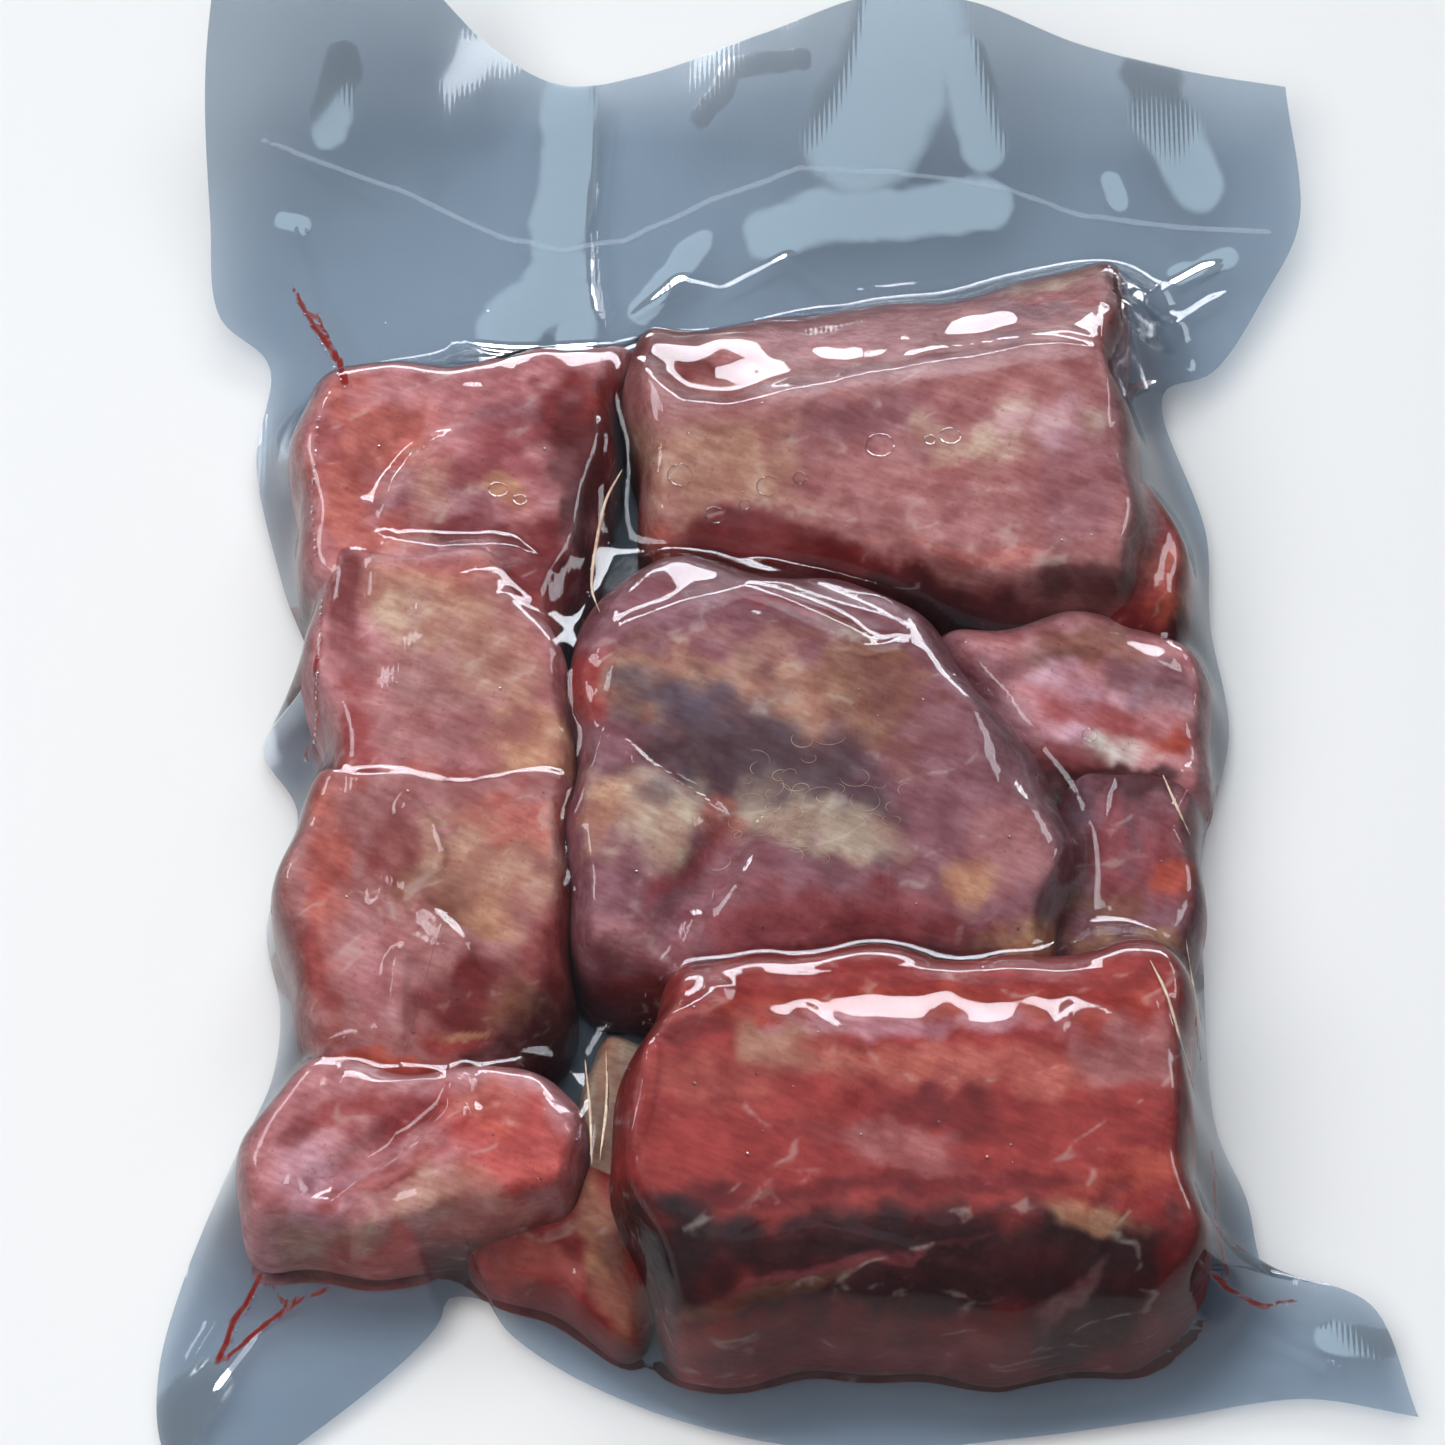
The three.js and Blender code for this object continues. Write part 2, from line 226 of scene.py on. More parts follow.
# Swells and hollows on the crowns: middle, reach along and across, turn in degrees, and height.
SWELLS = [
    ((40, 108), (70, 24), 8, -18),
    ((48, -83), (58, 10), 0, -5),
    ((14, 25), (36, 14), -12, -8),
    ((32, 8), (22, 8), -40, -3),
    ((30, 62), (45, 8), 8, 2),
    ((30, 44), (45, 8), 3, -1.5),
    ((-19, -50), (20, 11), 60, 3),
    ((-4, -60), (21, 5), 60, -5),
    ((14, -62), (22, 9), 8, 2),
    ((30, -30), (40, 14), -42, 2),
    ((45, -97), (50, 7), 1, 1.5),
    ((-76, 50), (13, 6), 50, -3),
    ((-62, -5), (18, 20), 0, 2),
    ((-74, -62), (22, 5), -48, -5),
    ((-62, -72), (20, 6), -40, 3),
    ((-72, -118), (22, 4), 30, -4),
    ((-48, -116), (14, 10), 0, 2),
]

# Folds and pleats of the film, each the height of its edge over the film beside it and its run in plan.
RIDGES = [
    # on the rack
    (2.2, [(-22, 77), (-19, 68), (-17, 57), (-16, 44), (-19, 31)]),
    (2.8, [(-22, 77), (-17, 66), (-10, 59), (1, 57), (12, 59), (25, 64)]),
    (2.2, [(25, 64), (39, 67), (55, 71), (71, 74), (87, 74)]),
    (1.0, [(37, 72), (50, 77), (65, 79), (79, 79), (88, 77)]),
    (1.0, [(89, 89), (88, 75), (89, 62), (88, 51)]),
    # webs between the rack and the shoulder
    (2.2, [(5, 23), (15, 19), (27, 14), (36, 11), (41, 6)]),
    (2.2, [(-0, 14), (13, 14), (27, 9), (36, 5), (41, 3)]),
    (1.0, [(24, -2), (32, -4), (39, -2), (39, 2)]),
    # on the shoulder and the lobe at its left
    (1.8, [(-28, -3), (-16, 3), (-5, 7), (5, 12), (13, 9), (24, 3), (37, -3)]),
    (1.2, [(-28, -2), (-26, -9), (-28, -19)]),
    (0.5, [(-2, -5), (15, -21), (33, -36), (47, -53)]),
    (1.8, [(-25, -23), (-29, -33), (-34, -49)]),
    (1.0, [(-25, -24), (-17, -34), (-7, -40), (4, -47)]),
    (2.2, [(-5, -66), (-8, -74), (-12, -82)]),
    # on the slab
    (2.2, [(-16, -97), (-7, -93), (-1, -88), (3, -86)]),
    (0.9, [(3, -84), (21, -84), (41, -82), (63, -82), (84, -82), (94, -83)]),
    (1.8, [(-16, -97), (-16, -107), (-18, -116), (-21, -125)]),
    (0.8, [(17, -90), (22, -96), (27, -99)]),
    (0.8, [(75, -89), (71, -101)]),
    (1.2, [(93, -84), (97, -96), (100, -108), (102, -119)]),
    (1.2, [(85, -132), (79, -143), (74, -154)]),
    (1.0, [(3, -144), (21, -140), (39, -145), (56, -149)]),
    # on the fillet
    (2.4, [(-80, 20), (-77, 25), (-73, 24), (-63, 23), (-53, 24), (-43, 22)]),
    (0.6, [(-61, 15), (-55, 16), (-49, 16)]),
    (0.6, [(-52, 9), (-48, 11), (-43, 9)]),
    # on the cap
    (2, [(-78, 31), (-76, 42), (-72, 50), (-63, 55)]),
    (0.8, [(-74, 26), (-74, 37), (-69, 46)]),
    # on the fold: two of a triangle, two of a lens, and the rest
    (2, [(-71, -39), (-69, -48), (-62, -56)]),
    (2, [(-71, -39), (-65, -47), (-62, -56)]),
    (3.2, [(-78, -58), (-72, -67), (-64, -74), (-54, -79)]),
    (1.8, [(-78, -58), (-70, -61), (-61, -70), (-54, -79)]),
    (2.2, [(-71, -73), (-72, -84), (-71, -95)]),
    (1.2, [(-88, -97), (-81, -93), (-71, -92)]),
    (1.0, [(-33, -59), (-33, -67), (-36, -72)]),
    # on the shank
    (2.6, [(-86, -104), (-76, -106), (-61, -104)]),
    (2, [(-56, -101), (-55, -108), (-53, -115)]),
    (3, [(-58, -103), (-59, -111), (-65, -118), (-72, -123), (-84, -130)]),
    (2.2, [(-80, -145), (-79, -135), (-71, -133), (-63, -132), (-67, -137), (-73, -141)]),
    (2, [(-93, -124), (-90, -131), (-79, -132)]),
    (1.0, [(-99, -140), (-93, -145), (-86, -147)]),
    (1.4, [(-40, -107), (-35, -115), (-29, -122), (-30, -130), (-33, -139)]),
    # on the strip
    (2.2, [(-26, -119), (-27, -129), (-31, -142), (-33, -153)]),
    (1.2, [(-22, -121), (-18, -137), (-14, -153), (-18, -165)]),
    # on the knuckle and the stub
    (2.2, [(63, 0), (75, 4), (84, 6), (95, 0), (105, -4)]),
    (1.2, [(107, -0), (108, -7), (107, -13)]),
    (2.2, [(100, -39), (105, -31), (106, -24)]),
    (1.2, [(101, -31), (101, -41), (104, -47)]),
    (1.0, [(71, -58), (76, -48), (83, -39)]),
    (1.0, [(85, -40), (86, -33), (88, -28)]),
    # up the mouth, and over the seal line
    (1.6, [(-27, 168), (-28, 150), (-30, 130), (-29, 112), (-26, 96)]),
    (1.5, [(-22, 104), (-10, 112), (0, 109), (16, 117), (30, 108), (48, 110), (62, 116)]),
    # on the wings beside the mouth, right and left
    (1.4, [(94, 104), (108, 110), (122, 118)]),
    (1.6, [(93, 93), (108, 99), (124, 110)]),
    (0.9, [(94, 84), (104, 86)]),
    (1.0, [(-104, 128), (-100, 118), (-96, 104)]),
    (0.8, [(-112, 146), (-96, 138), (-80, 130)]),
    # on the left ear and the right one
    (1.2, [(-117, -160), (-108, -145), (-102, -136)]),
    (1.0, [(-112, -168), (-100, -152), (-88, -146)]),
    (1.0, [(112, -148), (122, -154), (136, -160)]),
    (0.8, [(110, -142), (120, -146), (132, -148)]),
]

# Colours of raw meat, sinew, fat and bone as they are seen through the film; the pale lilac is a painted
# highlight, and dark and black also serve as painted shade.
TONES = {
    "rose": (182, 118, 116),
    "pink": (206, 138, 140),
    "mauve": (152, 96, 104),
    "wine": (158, 72, 76),
    "dusty": (178, 124, 120),
    "dusk": (100, 70, 76),
    "slate": (104, 84, 98),
    "red": (168, 60, 55),
    "crimson": (126, 34, 34),
    "dark": (78, 28, 30),
    "black": (50, 26, 27),
    "salmon": (200, 108, 94),
    "coral": (204, 86, 78),
    # a painted highlight: the pale lilac sheen of light mirrored by the film over the meat
    "painted_sheen": (216, 164, 176),
    "orange": (196, 88, 68),
    "tan": (196, 146, 122),
    "umber": (150, 96, 74),
    "cream": (212, 184, 160),
    "fat": (206, 152, 116),
    "bone": (224, 206, 196),
}

# Patches of muscle, fat and sinew on each piece, in the frame's pixels: column, row, reach along and across,
# turn, tone and strength. Patches in the pale lilac tone are painted highlights, and the dark and black
# patches on the pieces' front faces and in the valleys between them are painted shade.
PATCHES = {
    # On the rack the pale lilac patch is a painted highlight and the dark patches on its front face are
    # painted shade.
    "rack": [
        (850, 470, 260, 90, 8, "rose", 0.9), (720, 470, 90, 55, 5, "tan", 0.9),
        (640, 540, 26, 40, 80, "salmon", 0.9), (870, 425, 90, 28, 5, "mauve", 0.7),
        (1020, 430, 85, 26, 8, "cream", 0.75), (930, 490, 100, 30, -25, "rose", 0.8),
        (1085, 480, 40, 80, 0, "mauve", 0.6), (690, 362, 55, 22, -20, "crimson", 0.8),
        (740, 350, 45, 12, 8, "pink", 0.8), (850, 340, 90, 16, 8, "pink", 0.6),
        (1060, 300, 50, 18, 10, "red", 0.8), (1050, 285, 60, 8, 10, "cream", 0.5),
        (1010, 320, 80, 10, 8, "mauve", 0.8), (1050, 425, 50, 30, 0, "painted_sheen", 0.6),
        (760, 545, 110, 26, -10, "crimson", 0.9), (900, 590, 120, 32, -18, "crimson", 0.95),
        (960, 615, 120, 30, -8, "dark", 0.9), (1090, 590, 70, 30, -10, "dark", 0.7),
        (1165, 595, 32, 46, -60, "red", 0.95), (1150, 560, 22, 16, 0, "orange", 0.9),
        (700, 560, 60, 30, 0, "crimson", 0.7), (1108, 320, 8, 60, 0, "crimson", 0.8),
        (1000, 555, 100, 9, -6, "salmon", 0.4),
    ],
    "shoulder": [
        (760, 700, 150, 60, 0, "tan", 0.85), (660, 690, 45, 40, -20, "fat", 0.7),
        (880, 700, 90, 45, -40, "umber", 0.7), (740, 760, 130, 75, -15, "dusk", 1.0),
        (700, 700, 60, 26, -10, "slate", 0.7), (850, 800, 70, 50, -25, "dusk", 0.9),
        (960, 790, 70, 90, -50, "mauve", 0.85), (1010, 850, 45, 60, 0, "rose", 0.7),
        (840, 830, 80, 24, -15, "cream", 0.6), (760, 800, 50, 24, 30, "cream", 0.35),
        (975, 880, 34, 28, 20, "fat", 0.8), (790, 915, 130, 40, 5, "wine", 0.9),
        (900, 930, 120, 26, 0, "crimson", 0.8), (960, 960, 120, 22, 0, "dark", 0.7),
        (1060, 950, 70, 26, 0, "fat", 0.9), (650, 815, 50, 50, -30, "cream", 0.9),
        (600, 820, 26, 40, 0, "fat", 0.6), (650, 790, 16, 16, 0, "slate", 0.5),
        (640, 900, 50, 60, 0, "mauve", 0.9), (625, 935, 36, 26, 0, "pink", 0.7),
        (650, 990, 60, 24, 0, "crimson", 0.9), (592, 680, 22, 50, 0, "red", 0.9),
        (720, 820, 30, 22, 0, "salmon", 0.6), (690, 860, 60, 16, 40, "wine", 0.8),
        (780, 600, 100, 14, -12, "wine", 0.8), (870, 640, 50, 14, -14, "umber", 0.8),
    ],
    # On the knuckle the pale lilac patch is a painted highlight and the dark band below it is painted shade.
    "knuckle": [
        (1050, 700, 66, 44, 0, "painted_sheen", 1.0), (1080, 655, 60, 18, 0, "umber", 0.8),
        (1030, 700, 50, 26, -25, "pink", 0.8), (1100, 715, 70, 12, -15, "red", 0.7),
        (1150, 690, 40, 24, -20, "slate", 0.5), (1110, 750, 34, 18, 0, "bone", 0.85),
        (1170, 738, 26, 12, 5, "orange", 0.95), (1060, 755, 50, 20, -10, "crimson", 0.8),
        (1120, 778, 80, 14, 0, "dark", 0.9), (965, 690, 36, 46, -40, "mauve", 0.8),
    ],
    "stub": [
        (1110, 860, 90, 50, 0, "wine", 0.8), (1080, 820, 20, 40, 0, "slate", 0.6),
        (1130, 830, 12, 40, 0, "slate", 0.5), (1180, 890, 22, 24, 0, "orange", 0.9),
        (1060, 880, 26, 30, 20, "mauve", 0.8), (1090, 905, 60, 16, 10, "umber", 0.7),
        (1040, 800, 26, 14, -40, "orange", 0.8), (1140, 790, 50, 16, 0, "dark", 0.8),
        (1130, 945, 60, 18, 5, "fat", 0.9),
    ],
    # On the slab the pale lilac band along its back is a painted highlight, and the dark and black patches
    # down its front face are painted shade.
    "slab": [
        (900, 1005, 260, 22, 0, "orange", 0.6), (900, 1025, 160, 14, 0, "painted_sheen", 0.6),
        (790, 1045, 60, 24, -8, "tan", 0.85), (960, 1068, 150, 20, -3, "salmon", 0.9),
        (1120, 1060, 50, 40, 20, "rose", 0.8), (760, 1120, 130, 50, 0, "red", 0.8),
        (940, 1110, 70, 32, 0, "crimson", 0.85), (1090, 1120, 90, 34, 5, "red", 0.9),
        (900, 1150, 80, 20, -15, "rose", 0.6), (700, 1080, 60, 26, 0, "salmon", 0.5),
        (690, 1030, 50, 16, 20, "crimson", 0.7), (1130, 1170, 80, 16, 15, "orange", 0.6),
        (900, 1185, 280, 12, 2, "crimson", 0.9), (930, 1275, 340, 66, 0, "dark", 1.0),
        (930, 1350, 340, 40, 0, "crimson", 0.9), (670, 1250, 60, 60, 0, "black", 1.0),
        (850, 1240, 240, 26, 0, "black", 0.8), (1110, 1240, 80, 30, 0, "black", 0.8),
        (1090, 1212, 50, 12, -10, "fat", 0.6), (960, 1290, 160, 20, 0, "black", 0.6),
        (760, 1300, 70, 10, 12, "umber", 0.5), (720, 1335, 100, 14, 12, "red", 0.6),
        (920, 1350, 90, 12, 0, "wine", 0.6), (1080, 1330, 70, 34, 40, "black", 0.7),
        (1075, 1290, 9, 46, -35, "rose", 0.45), (880, 1262, 90, 6, 12, "wine", 0.5),
        (1180, 1290, 30, 70, 0, "crimson", 0.8), (1000, 1375, 160, 10, 0, "crimson", 0.8),
        (660, 1365, 30, 16, 20, "wine", 0.8), (770, 1285, 50, 6, 15, "wine", 0.5),
    ],
    "heel": [
        (1165, 595, 40, 30, 60, "orange", 0.9), (1150, 560, 22, 16, 0, "salmon", 0.9),
        (1130, 520, 30, 30, 0, "rose", 0.7), (1120, 630, 50, 20, 0, "crimson", 0.9),
        (1175, 640, 14, 24, 0, "dark", 0.7), (1110, 560, 20, 30, 0, "crimson", 0.6),
    ],
    "gristle": [
        (600, 1060, 12, 40, 0, "tan", 0.8), (618, 1120, 8, 50, 0, "fat", 0.6),
        (590, 1150, 20, 20, 0, "umber", 0.6),
    ],
    "cap": [
        (430, 410, 110, 30, 0, "pink", 0.8), (380, 440, 60, 50, 30, "salmon", 0.9),
        (345, 490, 26, 90, 0, "salmon", 0.9), (520, 410, 60, 26, 5, "mauve", 0.7),
        (590, 430, 50, 90, 10, "crimson", 0.95), (600, 400, 36, 30, 0, "red", 0.8),
        (580, 450, 34, 60, 0, "dark", 0.6), (490, 460, 60, 40, 30, "wine", 0.8),
        (440, 510, 60, 36, 0, "mauve", 0.7), (430, 490, 20, 36, -20, "tan", 0.6),
        (500, 490, 30, 12, 0, "fat", 0.8), (540, 560, 40, 60, -30, "crimson", 0.9),
        (570, 600, 26, 50, -20, "red", 0.7), (585, 520, 20, 40, 0, "dark", 0.8),
        (380, 540, 40, 24, 0, "salmon", 0.8), (330, 440, 14, 30, 0, "wine", 0.6),
        (470, 535, 70, 14, 0, "crimson", 0.7),
    ],
    "fillet": [
        (450, 660, 110, 110, 0, "rose", 0.9), (460, 575, 80, 24, 0, "salmon", 0.7),
        (430, 610, 70, 40, -35, "tan", 0.8), (400, 620, 30, 30, 0, "cream", 0.4),
        (440, 680, 70, 60, 0, "dusty", 0.8), (500, 660, 50, 50, -40, "tan", 0.6),
        (530, 760, 50, 60, 0, "fat", 0.8), (470, 730, 60, 20, 0, "rose", 0.7),
        (345, 600, 16, 60, 0, "crimson", 0.8), (350, 740, 30, 70, 0, "red", 0.8),
        (460, 770, 40, 8, 0, "wine", 0.7), (420, 780, 60, 20, -10, "salmon", 0.7),
    ],
    "fold": [
        (480, 860, 90, 50, 0, "tan", 0.8), (520, 820, 50, 30, 0, "salmon", 0.8),
        (450, 900, 60, 26, -35, "umber", 0.8), (500, 920, 40, 30, -30, "fat", 0.6),
        (335, 880, 26, 120, 0, "salmon", 0.95), (322, 960, 16, 60, 0, "red", 0.7),
        (380, 980, 36, 60, 15, "pink", 0.9), (400, 850, 36, 30, 0, "wine", 0.7),
        (470, 1000, 70, 40, 0, "crimson", 0.95), (520, 1000, 26, 26, 0, "umber", 0.8),
        (560, 950, 26, 60, 0, "red", 0.7), (520, 1050, 70, 30, 0, "dark", 0.9),
        (390, 1068, 60, 12, 4, "orange", 0.9), (450, 1040, 50, 16, 0, "red", 0.8),
        (470, 1030, 24, 6, 5, "fat", 0.8), (560, 1030, 24, 50, 0, "dark", 0.9),
        (360, 930, 24, 40, 0, "rose", 0.6),
    ],
    # On the shank the pale lilac patch at its left is a painted highlight.
    "shank": [
        (370, 1110, 80, 22, 0, "red", 0.8), (400, 1120, 60, 16, 40, "wine", 0.6),
        (510, 1150, 70, 60, -20, "coral", 0.9), (490, 1100, 40, 16, 0, "salmon", 0.8),
        (315, 1190, 40, 50, 10, "painted_sheen", 0.7), (440, 1200, 50, 40, 0, "tan", 0.7),
        (380, 1180, 60, 12, 25, "red", 0.7), (340, 1250, 60, 30, 0, "tan", 0.7),
        (400, 1262, 70, 26, 10, "coral", 0.9), (500, 1230, 60, 26, 0, "salmon", 0.7),
        (290, 1130, 30, 20, 30, "crimson", 0.6), (480, 1265, 60, 14, 10, "crimson", 0.7),
        (500, 1120, 20, 12, 0, "orange", 0.5), (550, 1230, 34, 20, 0, "red", 0.6),
    ],
    "strip": [
        (565, 1290, 80, 50, -30, "crimson", 0.85), (600, 1240, 20, 60, 0, "fat", 0.5),
        (610, 1340, 50, 26, -25, "crimson", 0.9), (620, 1280, 20, 60, 0, "umber", 0.7),
        (530, 1270, 40, 20, -20, "salmon", 0.5),
    ],
}

# Lines on the film by half width and run in the frame's pixels: the bag's seal, meat juice drawn between the
# sheets, and broad places where the film mirrors more and carries a painted pale blue reflection.
SEAL_LINES = [
    (2.5, [(262, 140), (330, 165), (400, 190), (500, 237), (560, 250), (625, 240)]),
    (2.5, [(625, 240), (700, 205), (800, 168), (900, 172),
           (1000, 187), (1080, 215), (1180, 228), (1270, 232)]),
]
JUICE_LINES = [
    (2.5, [(1196, 1262), (1230, 1290), (1265, 1308)]),
    (1.5, [(1212, 1150), (1216, 1220), (1228, 1290)]),
    (1.5, [(1230, 1290), (1265, 1310), (1300, 1298)]),
    (3, [(215, 1362), (238, 1315), (262, 1275)]),
    (2.5, [(225, 1360), (262, 1325), (300, 1300)]),
    (2, [(262, 1275), (285, 1300), (330, 1290)]),
    (2.5, [(292, 290), (318, 330), (345, 385)]),
    (1.5, [(318, 310), (330, 345), (350, 385)]),
    (1.5, [(322, 600), (318, 660), (316, 740), (305, 760)]),
]
REFLECTION_PLACES = [
    (27, [(572, 95), (570, 160), (556, 240)]),
    (28, [(562, 270), (538, 300), (505, 328)]),
    (18, [(578, 300), (574, 335)]),
    (56, [(905, 30), (890, 85), (862, 135)]),
    (22, [(965, 60), (985, 150)]),
    (26, [(770, 235), (830, 215), (900, 215), (985, 205)]),
    (12, [(640, 310), (700, 240)]),
    (28, [(1148, 75), (1165, 120), (1198, 185)]),
    (8, [(1110, 178), (1118, 205)]),
    (12, [(700, 118), (735, 72), (800, 58)]),
    (9, [(285, 222), (302, 228)]),
    (10, [(1180, 275), (1228, 256)]),
    (18, [(330, 130), (345, 60)]),
    (26, [(170, 1430), (205, 1385)]),
    (16, [(1330, 1335), (1385, 1345)]),
]

# Rings that bubbles leave under the film, as column, row and radius in the frame's pixels.
BUBBLE_RINGS = [
    (880, 445, 15), (950, 436, 11), (930, 440, 6), (680, 475, 13), (768, 486, 12), (800, 478, 7),
    (745, 505, 6), (715, 515, 10), (498, 490, 10), (520, 500, 7), (1090, 735, 8),
]
# Rows of beads of juice along creases, in the frame's pixels.
BEAD_ROWS = [
    [(1108, 266), (1122, 284), (1142, 297), (1160, 284)], [(322, 600), (318, 660), (316, 740), (305, 762)],
    [(318, 420), (312, 500), (316, 560)], [(232, 1340), (252, 1300), (268, 1282)],
    [(296, 300), (325, 350), (345, 388)],
]

# Cream edges of film beside the gaps, by radius in millimetres and run in the frame's pixels.
CREAM_EDGES = [
    (0.5, [(622, 470), (606, 500), (597, 540), (592, 590), (600, 612)]),
    (0.4, [(592, 1165), (590, 1110), (585, 1060)]),
    (0.45, [(600, 1160), (607, 1100), (606, 1050)]),
    (0.35, [(1163, 775), (1176, 805), (1190, 835)]),
    (0.45, [(1150, 960), (1165, 990), (1180, 1040), (1196, 1090)]),
    (0.35, [(1186, 940), (1195, 1000), (1201, 1060)]),
]


def linear(colour):
    """A display colour of 0 to 255 as linear light."""
    share = np.array(colour) / 255
    return np.where(share <= 0.04045, share / 12.92, ((share + 0.055) / 1.055) ** 2.4)


def smooth_step(share):
    share = np.clip(share, 0, 1)
    return share * share * (3 - 2 * share)


def turned(dx, dy, turn):
    """Offsets along and across a direction given in degrees."""
    angle = math.radians(turn)
    return dx * math.cos(angle) + dy * math.sin(angle), dy * math.cos(angle) - dx * math.sin(angle)


def catmull_rom(points, count):
    """count + 1 evenly spaced points along the centripetal curve through the given ones."""
    p = np.array(points, float)
    p = np.vstack([2 * p[0] - p[1], p, 2 * p[-1] - p[-2]])
    gap = np.sqrt(np.linalg.norm(np.diff(p, axis=0), axis=1))
    dense = []
    share = np.linspace(0, 1, 60, endpoint=False)[:, None]
    for k in range(1, len(p) - 2):
        before, here, after = gap[k - 1], gap[k], gap[k + 1]
        a, b, c, d = p[k - 1], p[k], p[k + 1], p[k + 2]
        start = ((b - a) / before - (c - a) / (before + here) + (c - b) / here) * here
        end = ((c - b) / here - (d - b) / (here + after) + (d - c) / after) * here
        dense.append(
            b + start * share
            + (3 * (c - b) - 2 * start - end) * share**2
            + (2 * (b - c) + start + end) * share**3
        )
    dense = np.vstack(dense + [p[-2][None]])
    run = np.concatenate([[0], np.cumsum(np.linalg.norm(np.diff(dense, axis=0), axis=1))])
    wanted = np.linspace(0, run[-1], count + 1)
    return np.stack([np.interp(wanted, run, dense[:, axis]) for axis in range(3)], axis=1)


def lay_out_sheet(across, along):
    """A sheet's places x, y and its seam height on a patch between the four rims."""
    left = catmull_rom(LEFT_RIM, along)
    right = catmull_rom(RIGHT_RIM, along)
    bottom = catmull_rom(BOTTOM_RIM, across)
    mouth = catmull_rom(MOUTH_RIM, across)
    u = np.linspace(0, 1, across + 1)[None, :, None]
    v = np.linspace(0, 1, along + 1)[:, None, None]
    patch = (
        (1 - v) * bottom[None] + v * mouth[None] + (1 - u) * left[:, None] + u * right[:, None]
        - (1 - u) * (1 - v) * bottom[0] - u * (1 - v) * bottom[-1]
        - (1 - u) * v * mouth[0] - u * v * mouth[-1]
    )
    u, v = u[..., 0], v[..., 0]
    lift = np.clip((v - MOUTH_START) / (1 - MOUTH_START), 0, 1) ** MOUTH_LIFT

    def inner(top):
        return SEAM + (top - SEAM) * lift

    def fade(share, reach):
        return np.clip(1 - share / reach, 0, 1) ** 2

    seam = (
        inner(mouth[None, :, 2])
        + (left[:, None, 2] - inner(mouth[0, 2])) * fade(u, MARGIN_ACROSS)
        + (right[:, None, 2] - inner(mouth[-1, 2])) * fade(1 - u, MARGIN_ACROSS)
        + (bottom[None, :, 2] - SEAM) * fade(v, MARGIN_ALONG)
        * (1 - fade(u, MARGIN_ACROSS)) * (1 - fade(1 - u, MARGIN_ACROSS))
    )
    return patch[..., 0], patch[..., 1], seam


def swayed(x, y):
    """Bends the pieces' straight sides as soft meat does, by a long and a short wave each way."""
    size, length, start_across, start_along = LONG_SWAY.values()
    small, short, slant = SHORT_SWAY.values()
    return (
        x + size * np.sin(y / length + start_across) + small * np.sin((y + slant * x) / short),
        y + size * np.sin(x / length + start_along) + small * np.sin((x - slant * y) / short),
    )


def inward_of(sides, x, y):
    """How far inside each of a piece's sides a place lies."""
    x, y = swayed(x, y)
    return [
        ((bx - ax) * (y - ay) - (by - ay) * (x - ax)) / math.hypot(bx - ax, by - ay)
        for (ax, ay, _), (bx, by, _) in zip(sides, sides[1:] + sides[:1])
    ]


def rise_in(sides, x, y, lean=None):
    """How far a place has come from a piece's foot to its crown, 0 to 1."""
    to_foot = np.zeros_like(x)
    for inward, (_, _, own) in zip(inward_of(sides, x, y), sides):
        to_foot += np.maximum(0, 1 - inward / (lean or own)) ** SHOULDER
    return np.maximum(0, 1 - to_foot) ** (1 / SHOULDER)


def swell(x, y):
    total = np.zeros_like(x)
    for (cx, cy), (along_reach, across_reach), turn, height in SWELLS:
        along, across = turned(x - cx, y - cy, turn)
        total += height * np.exp(-((along / along_reach) ** 2) - (across / across_reach) ** 2)
    return total


def noise(x, y, size, seed):
    """Smooth noise from -1 to 1 with bumps of about the given size."""
    table = np.random.default_rng(seed).uniform(-1, 1, (64, 64))
    gx, gy = x / size, y / size
    ix, iy = np.floor(gx).astype(int), np.floor(gy).astype(int)
    fx, fy = gx - ix, gy - iy
    fx, fy = fx * fx * (3 - 2 * fx), fy * fy * (3 - 2 * fy)

    def corner(dx, dy):
        return table[(ix + dx) % 64, (iy + dy) % 64]

    low = corner(0, 0) * (1 - fx) + corner(1, 0) * fx
    high = corner(0, 1) * (1 - fx) + corner(1, 1) * fx
    return low * (1 - fy) + high * fy


def relief(x, y, layers, seed):
    """Unevenness in layers, each given by the height and the size of its bumps."""
    return sum(height * noise(x, y, size, seed + k) for k, (height, size) in enumerate(layers))


def middle_of(sides):
    return sum(s[0] for s in sides) / len(sides), sum(s[1] for s in sides) / len(sides)


def meat_top(name, x, y):
    piece = PIECES[name]
    sides = piece["sides"]
    cx, cy = middle_of(sides)
    seed = 10 * list(PIECES).index(name)
    crown = piece["height"] + piece["slopes"][0] * (x - cx) + piece["slopes"][1] * (y - cy)
    return SEAM + rise_in(sides, x, y) * (crown + swell(x, y) + relief(x, y, MEAT_RELIEF, seed) - SEAM)


def meat_bottom(name, x, y):
    return SEAM - rise_in(PIECES[name]["sides"], x, y, UNDERCUT) * (SEAM - CLEARANCE)


def drape(x, y, support, rounds):
    """Draws a sheet over its supports like a skin under pressure: it touches them or bridges between them."""
    height = support.copy()
    across = 4 / ((x[1:-1, 2:] - x[1:-1, :-2]) ** 2 + (y[1:-1, 2:] - y[1:-1, :-2]) ** 2)
    along = 4 / ((x[2:, 1:-1] - x[:-2, 1:-1]) ** 2 + (y[2:, 1:-1] - y[:-2, 1:-1]) ** 2)
    for _ in range(rounds):
        level = (
            across * (height[1:-1, 2:] + height[1:-1, :-2])
            + along * (height[2:, 1:-1] + height[:-2, 1:-1])
            - 1 / BRIDGE_RADIUS
        ) / (2 * (across + along))
        height[1:-1, 1:-1] = np.maximum(support[1:-1, 1:-1], level)
    return height


